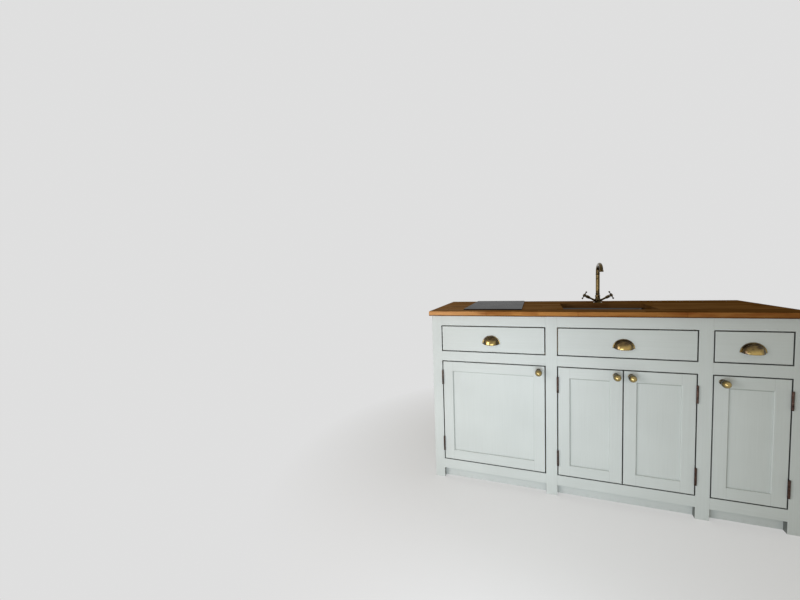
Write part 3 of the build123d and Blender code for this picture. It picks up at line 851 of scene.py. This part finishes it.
def hinges(bronze):
    """The fixed leaves of every door on the frame, and each door's own leaves."""
    fixed = bmesh.new()
    for door in DOORS:
        pin = JOINT_PLACES[f"{door}_hinge"]
        low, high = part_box(f"{door}_hinges")
        side = -1 if door in DOORS_HUNG_LEFT else 1
        moving = bmesh.new()
        for middle in (low.z + HINGE_HEIGHT / 2, high.z - HINGE_HEIGHT / 2):
            hinge_leaf(fixed, pin, middle, side, False)
            hinge_leaf(moving, pin, middle, side, True)
        put(f"{door}_leaves", moving, bronze, door, [f"{door}_hinges"])
    put("fixed_hinge_leaves", fixed, bronze, "cupboard", ["hinge_plates"])


# The sink

BOWL_FLANGE = 15 * MM
BOWL_EDGE = ((BOWL_FLANGE, 0.0), (3 * MM, 0.0), (0.9 * MM, 0.9 * MM), (0.0, 3 * MM))
BOWL_TOP_DROP = 1.3 * MM
BOWL_CORNER = 15 * MM
BOWL_CORNER_AT_FLOOR = 3 * MM
BOWL_DRAFT = 1.5 * MM
BOWL_FLOOR_ROUND = 12 * MM
BOWL_FLOOR_FALL = 1.5 * MM
BOWL_WALL = 1.2 * MM
BOWL_MOUTH = 43 * MM
FLOOR_ROUND_STEPS = 8
FLOOR_LOOPS = (0.35, 0.7, 0.92, 1.0)
WASTE_LIP = 1 * MM
STRAINER_DROP = 5.4 * MM
STRAINER_THICKNESS = 0.9 * MM
# Radii of the plate, of its holes and of each ring of holes, in millimetres, with the number in each ring
STRAINER_RADIUS, STRAINER_HOLE = 30.3, 2.0
STRAINER_RINGS = ((10, 8), (17, 14), (24, 20))

WASTE_BODY = profile_mm(
    (45, 0.2), (44.6, 0.9), (43, 1), (39, -0.6), (35, -4), (34, -5), (30.5, -5.2), (30.5, -6.2), (20, -19),
    (20, -70), (18, -70), (18, -19), (29, -7.4), (36, -6.2), (43, -0.4))
WASTE_NUT = profile_mm((24, -30), (25.5, -31.5), (25.5, -40), (24, -41.5), (19.6, -41.5), (19.6, -30))
WASTE_SCREW = profile_mm((0, -1.2), (5.2, -1.5), (6, -2.6), (3, -4), (3, -7), (0, -7))


def rounded_loop(centre, half_x, half_y, corner, level, steps=10, straights=14):
    """A rectangle with rounded corners at one level, with points along its straight sides too."""
    corners = []
    for quarter, (sign_x, sign_y) in enumerate(((1, 1), (-1, 1), (-1, -1), (1, -1))):
        turns = [math.pi / 2 * (quarter + i / steps) for i in range(steps + 1)]
        corners.append([Vector((
            centre.x + sign_x * (half_x - corner) + corner * math.cos(turn),
            centre.y + sign_y * (half_y - corner) + corner * math.sin(turn), level)) for turn in turns])
    loop = []
    for arc, following in zip(corners, corners[1:] + corners[:1]):
        loop += arc + [arc[-1].lerp(following[0], i / straights) for i in range(1, straights)]
    return loop


def bowl_rows(centre, half_x, half_y, top, floor):
    """Loops from the flange down the drafted walls, round to the floor and in to the mouth of the waste."""
    rows = [rounded_loop(centre, half_x + out, half_y + out, BOWL_CORNER + out, top - drop)
            for out, drop in BOWL_EDGE]
    for i in range(FLOOR_ROUND_STEPS + 1):
        turn = math.pi / 2 * i / FLOOR_ROUND_STEPS
        inset = BOWL_FLOOR_ROUND * (1 - math.cos(turn))
        rows.append(rounded_loop(
            centre, half_x - BOWL_DRAFT - inset, half_y - BOWL_DRAFT - inset,
            max(BOWL_CORNER - inset, BOWL_CORNER_AT_FLOOR),
            floor + BOWL_FLOOR_ROUND * (1 - math.sin(turn)) + BOWL_FLOOR_FALL))
    edge = rows[-1]
    for share in FLOOR_LOOPS:
        row = []
        for point in edge:
            away = point - Vector((centre.x, centre.y, point.z))
            spot = away.lerp(away.normalized() * BOWL_MOUTH, share)
            row.append(Vector((centre.x + spot.x, centre.y + spot.y, floor + BOWL_FLOOR_FALL * (1 - share))))
        rows.append(row)
    return rows


def sink(steel):
    """The pressed bowl with its flange, drafted walls and dished floor, and the waste with its strainer."""
    centre = Vector(((bowl_low.x + bowl_high.x) / 2, (bowl_low.y + bowl_high.y) / 2, 0))
    half_x = (bowl_high.x - bowl_low.x) / 2 - BOWL_FLANGE
    half_y = (bowl_high.y - bowl_low.y) / 2 - BOWL_FLANGE
    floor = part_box("sink_waste")[1].z - WASTE_LIP
    form = bmesh.new()
    skin(form, bowl_rows(centre, half_x, half_y, bowl_high.z - BOWL_TOP_DROP, floor))
    add_wall(put("pressed_bowl", form, steel, "cupboard", ["sink_bowl"], solid=False), BOWL_WALL)
    origin = Vector((centre.x, centre.y, floor))
    form = bmesh.new()
    turned(form, origin, UP, WASTE_BODY, sides=56, hollow=True)
    turned(form, origin, UP, WASTE_NUT, sides=12, hollow=True)
    turned(form, origin, UP, WASTE_SCREW, sides=28)
    put("waste_fitting", form, steel, "cupboard", ["sink_waste"])
    strainer(steel, origin - UP * STRAINER_DROP)


def strainer(steel, origin):
    """A round plate with three rings of holes."""
    plate = bpy.data.curves.new("strainer_outline", "CURVE")
    plate.dimensions = "2D"
    plate.fill_mode = "BOTH"
    plate.extrude = STRAINER_THICKNESS / 2
    circles = [(0, 0, STRAINER_RADIUS, 48)]
    for distance, count in STRAINER_RINGS:
        for i in range(count):
            turn = 2 * math.pi * i / count
            circles.append((distance * math.cos(turn), distance * math.sin(turn), STRAINER_HOLE, 14))
    for x, y, radius, sides in circles:
        spline = plate.splines.new("POLY")
        spline.points.add(sides - 1)
        spline.use_cyclic_u = True
        for i, point in enumerate(spline.points):
            turn = 2 * math.pi * i / sides
            point.co = ((x + radius * math.cos(turn)) * MM, (y + radius * math.sin(turn)) * MM, 0, 1)
    outline = bpy.data.objects.new("strainer_outline", plate)
    mesh = bpy.data.meshes.new_from_object(outline)
    bpy.data.objects.remove(outline)
    form = bmesh.new()
    form.from_mesh(mesh)
    bmesh.ops.translate(form, verts=form.verts, vec=origin)
    put("waste_strainer", form, steel, "cupboard")


# The tap

TAP_TAIL = profile_mm((0, -46), (15, -46), (15, 0), (22.5, 0), (22.5, 1.2))
TAP_VASE = profile_mm(
    (21.8, 2.2), (17.4, 3.6), (14.2, 6.4), (15.4, 9.5), (16.5, 14), (15.4, 19), (12.6, 25), (11.6, 27.5))
TAP_COLLAR = profile_mm((12.8, 28), (13.1, 29), (12.8, 30), (11.8, 30.5), (11.8, 33), (0, 33))
TAP_TAIL_NUT = profile_mm((15.2, -32), (20.6, -32), (21, -31.4), (21, -24.6), (20.6, -24), (15.2, -24))

ARM_RAKE = math.radians(29)
ARM_RISE = 5 * MM
ARM_LENGTH = 69 * MM
ARM_ROOT = profile_mm((0, 2), (6.4, 2), (6.4, 17))
ARM_WAIST = profile_mm((6.2, 21), (5.4, 28), (5.2, 38), (6.0, 47))
ARM_BONNET = profile_mm((8.4, 48.6), (8.8, 50), (8.6, 51.4), (7.2, 52.2), (7.2, 54), (0, 54))
ARM_HEXAGON = profile_mm((0, 54), (9, 54), (9.5, 55), (9.5, 61), (9, 62), (0, 62))
ARM_TIP = profile_mm((0, 62), (8.2, 62), (7.8, 65)) + [(6.6 * MM, ARM_LENGTH - 1 * MM), (0, ARM_LENGTH)]

HUB_CLEAR = 0.3 * MM
HUB_BASE = profile_mm((0, 0), (7.4, 0.2), (8.5, 1.6), (8.5, 3.4))
HUB_WAIST = profile_mm((7.8, 4.2), (7.0, 6.4), (7.0, 8.6), (7.8, 10.8))
HUB_CAP = profile_mm((8.5, 11.4), (8.5, 12.6), (7.4, 13.2), (7.0, 13.2), (6.6, 13.8), (4.4, 14.6), (0, 15))
SPOKE_HEIGHT = 7.5 * MM
SPOKE_ROOT = profile_mm((0, 4), (3.8, 6), (3.6, 8))
SPOKE_WAIST = profile_mm((3.2, 9), (2.3, 12), (2.4, 14.6))
SPOKE_COLLAR = profile_mm((3.1, 15.2), (3.1, 15.8))
SPOKE_BALL = profile_mm(*[
    (4.6 * math.sin(math.pi * i / 12), 20.4 - 4.6 * math.cos(math.pi * i / 12)) for i in range(2, 13)])

SPOUT_RADIUS = 10 * MM
SPOUT_TAPER = 0.08
SPOUT_STEPS = 40
SPOUT_START = 33.3 * MM
SPOUT_STRAIGHT = 182 * MM
SPOUT_REACH = 115 * MM
SPOUT_RISE = 32.5 * MM
SPOUT_DROP = 7 * MM
SPOUT_COLUMN = (SPOUT_START, SPOUT_START + 30 * MM, SPOUT_STRAIGHT * 0.75, SPOUT_STRAIGHT * 0.96,
                SPOUT_STRAIGHT)
SPOUT_NUT = profile_mm((10.05, 0), (12.3, 0), (13, 0.8), (13, 7.6), (12.3, 8.4), (10.9, 10), (10.05, 10))
SPOUT_RINGS = ((16 * MM, 1.6), (128 * MM, 1.2))
OUTLET_RING = profile_mm(
    (8.9, -1), (10.6, -0.4), (11.4, 1.2), (11.4, 6.4), (10.6, 8), (9.2, 8), (8.6, 6.6))


def arm_axis(side):
    return Vector((side * math.cos(ARM_RAKE), 0, math.sin(ARM_RAKE)))


def tap_body(brass, foot):
    """The turned body, its two raked arms with bonnets, and the nut and tail under the worktop."""
    form = bmesh.new()
    turned(form, foot, UP, TAP_TAIL + flowing(TAP_VASE) + TAP_COLLAR, sides=56)
    turned(form, foot, UP, TAP_TAIL_NUT, sides=6, hollow=True)
    start = foot + UP * ARM_RISE
    for side in (-1, 1):
        turned(form, start, arm_axis(side), ARM_ROOT + flowing(ARM_WAIST) + ARM_BONNET, sides=36)
        turned(form, start, arm_axis(side), ARM_HEXAGON, sides=6)
        turned(form, start, arm_axis(side), ARM_TIP, sides=36)
    put("turned_tap_body", form, brass, "cupboard", ["tap_body"])


def tap_handle(brass, foot, side, name):
    """A cross handle: a hub with a blank domed cap, and four spokes that end in balls."""
    axis = arm_axis(side)
    hub = foot + UP * ARM_RISE + axis * (ARM_LENGTH + HUB_CLEAR)
    form = bmesh.new()
    turned(form, hub, axis, HUB_BASE + flowing(HUB_WAIST) + HUB_CAP, sides=36)
    spoke = SPOKE_ROOT + flowing(SPOKE_WAIST, 4) + SPOKE_COLLAR + SPOKE_BALL
    for quarter in range(4):
        turn = quarter * math.pi / 2
        out = DEEP * math.cos(turn) + DEEP.cross(axis) * math.sin(turn)
        turned(form, hub + axis * SPOKE_HEIGHT, out, spoke, sides=24)
    put(f"{name}_cross", form, brass, name, [name])


def tap_spout(brass, foot):
    """The swan neck: a nut, a ringed column, a flattened bend and an outlet with its ring."""
    form = bmesh.new()
    route = [foot + UP * height for height in SPOUT_COLUMN]
    for i in range(1, SPOUT_STEPS + 1):
        turn = math.pi * i / SPOUT_STEPS
        route.append(foot + UP * (SPOUT_STRAIGHT + SPOUT_RISE * math.sin(turn))
                     - DEEP * SPOUT_REACH / 2 * (1 - math.cos(turn)))
    tip = foot + UP * SPOUT_STRAIGHT - DEEP * SPOUT_REACH
    route.append(tip - UP * SPOUT_DROP)
    radii = [SPOUT_RADIUS * (1 - SPOUT_TAPER * i / (len(route) - 1)) for i in range(len(route))]
    swept(form, route, radii, ALONG, sides=36)
    turned(form, foot + UP * SPOUT_START, UP, SPOUT_NUT, sides=8, hollow=True)
    for height, swell in SPOUT_RINGS:
        bead = profile_mm((9.7, -2.6), (10 + swell * 0.6, -1.8), (10 + swell, 0), (10 + swell * 0.6, 1.8),
                          (9.7, 2.6))
        turned(form, foot + UP * (height + SPOUT_START), UP, bead, sides=36, hollow=True)
    turned(form, tip, -UP, OUTLET_RING, sides=36, hollow=True)
    put("swan_neck", form, brass, "tap_spout", ["tap_spout"])


# The floor and the surround

BACKGROUND = 0.74
AMBIENT = 0.27
AMBIENT_TINT = (1.0, 0.962, 0.79, 1)
WHITE = (1, 1, 1, 1)
PALE_FLOOR = srgb(236, 235, 232)
FLOOR_REACH = 40
FLOOR_NEAR, FLOOR_FAR = 0.8, 1.7
FLOOR_SHARE_NEAR = 0.55


def seen_rays(nodes):
    """1 for the rays that show the background itself: straight to the camera, mirrored or through glass."""
    seen = [nodes.node("LightPath", output=f"Is {kind} Ray") for kind in ("Camera", "Glossy", "Transmission")]
    return seen[0].largest(seen[1]).largest(seen[2])


def make_floor():
    """A pale floor that melts into the surround a little way off and keeps the shadow under the object."""
    floor_mesh = bpy.data.meshes.new("studio_floor")
    corners = [(x * FLOOR_REACH, y * FLOOR_REACH, 0) for x, y in ((-1, -1), (1, -1), (1, 1), (-1, 1))]
    floor_mesh.from_pydata(corners, [], [(0, 1, 2, 3)])
    floor = bpy.data.objects.new("studio_floor", floor_mesh)
    scene.collection.objects.link(floor)
    pale = Finish("pale_floor", Base_Color=PALE_FLOOR, Roughness=0.9, Specular_IOR_Level=0.1)
    away = (pale.x * pale.x + pale.y * pale.y) ** 0.5
    glow = pale.node("Emission", inputs={"Color": WHITE, "Strength": BACKGROUND})
    pale.mixed_with(glow, seen_rays(pale) * pale.fade(away, FLOOR_NEAR, FLOOR_FAR, FLOOR_SHARE_NEAR, 1.0))
    floor_mesh.materials.append(pale.material)


def make_surround():
    """A pale surround for the rays that show it, and a weak warm light from all sides for the others."""
    world = bpy.data.worlds.new("studio")
    scene.world = world
    world.use_nodes = True
    sky = Nodes(world.node_tree)
    seen = seen_rays(sky)
    background = next(node for node in world.node_tree.nodes if node.type == "BACKGROUND")
    tint = sky.tint(seen, AMBIENT_TINT, WHITE)
    strength = seen * (BACKGROUND - AMBIENT) + AMBIENT
    world.node_tree.links.new(tint.socket, background.inputs["Color"])
    world.node_tree.links.new(strength.socket, background.inputs["Strength"])


# Putting it together

PAINTED_UP = ["face_stiles", "end_panel_left", "end_panel_right"]
PAINTED_ACROSS = ["top_rails", "middle_rails", "bottom_rails", "plinth_front"]
PAINTED_FRONTS = ["drawer_left_front", "false_front", "drawer_right_front"]
BIRCH_ACROSS = ["bottom_board", "plinth_back", "back_panel", "back_rails", "false_front_cleats"]
BIRCH_BACK = ["drawer_runners", "drawer_guides"]


def clad(nodes, material):
    """Give carried-over nodes their finish."""
    for name in nodes:
        slots = frame["nodes"][name].data.materials
        slots.clear()
        slots.append(material)


make_camera()
make_floor()
make_surround()
add_lamp("key", **KEY_LAMP)
add_lamp("low_fill", **LOW_FILL)

clad(PAINTED_UP, paint_coat("sage_paint_up", brushed_along(2)))
clad(PAINTED_ACROSS, paint_coat("sage_paint_across", brushed_along(0)))
for door in DOORS:
    clad([f"{door}_frame"], door_paint(door))
    clad([f"{door}_panel"], panel_paint(door))
for front in PAINTED_FRONTS:
    clad([front], paint_coat(f"{front}_paint", brushed_along(0), sides_for=front_sides(front)))
clad(["worktop"], oiled_oak())
clad(BIRCH_ACROSS, birch("birch_across", 0))
clad(BIRCH_BACK, birch("birch_back", 1))
clad(["divisions"], birch("birch_up", 2))
for drawer in ("drawer_left", "drawer_right"):
    clad([f"{drawer}_box"], drawer_birch(drawer))
clad(["hob_glass"], printed_glass())
clad(["hob_casing"], sheet_metal())

pull_brass = aged_metal("pull_brass", bright=srgb(190, 162, 96), dark=srgb(66, 50, 27),
                        smooth=0.14, rough=0.25, wear_and_painted_light=pull_wear_and_painted_light, lacquer=0.4)
knob_brass = aged_metal("knob_brass", bright=srgb(176, 154, 98), dark=srgb(48, 37, 20),
                        smooth=0.11, rough=0.20, wear_and_painted_light=knob_wear_and_painted_light, lacquer=0.3)
tap_brass = aged_metal("tap_brass", bright=srgb(104, 88, 56), dark=srgb(34, 26, 15), smooth=0.08, rough=0.16)
bronze = aged_metal("dark_bronze", bright=srgb(86, 66, 58), dark=srgb(50, 38, 34), smooth=0.34, rough=0.50)

for name, node, body in (
    ("left_cup_pull", "cup_pull_left", "drawer_left"),
    ("middle_cup_pull", "cup_pull_middle", "cupboard"),
    ("right_cup_pull", "cup_pull_right", "drawer_right"),
):
    cup_pull(name, node, body, pull_brass)
for door in DOORS:
    knob(f"{door}_egg_knob", f"{door}_knob", door, knob_brass)
hinges(bronze)
sink(gunmetal_steel())

spout_pin = JOINT_PLACES["tap_spout_swivel"]
tap_foot = Vector((spout_pin.x, spout_pin.y, worktop_high.z))
tap_body(tap_brass, tap_foot)
for side, name in ((-1, "tap_handle_left"), (1, "tap_handle_right")):
    tap_handle(tap_brass, tap_foot, side, name)
tap_spout(tap_brass, tap_foot)
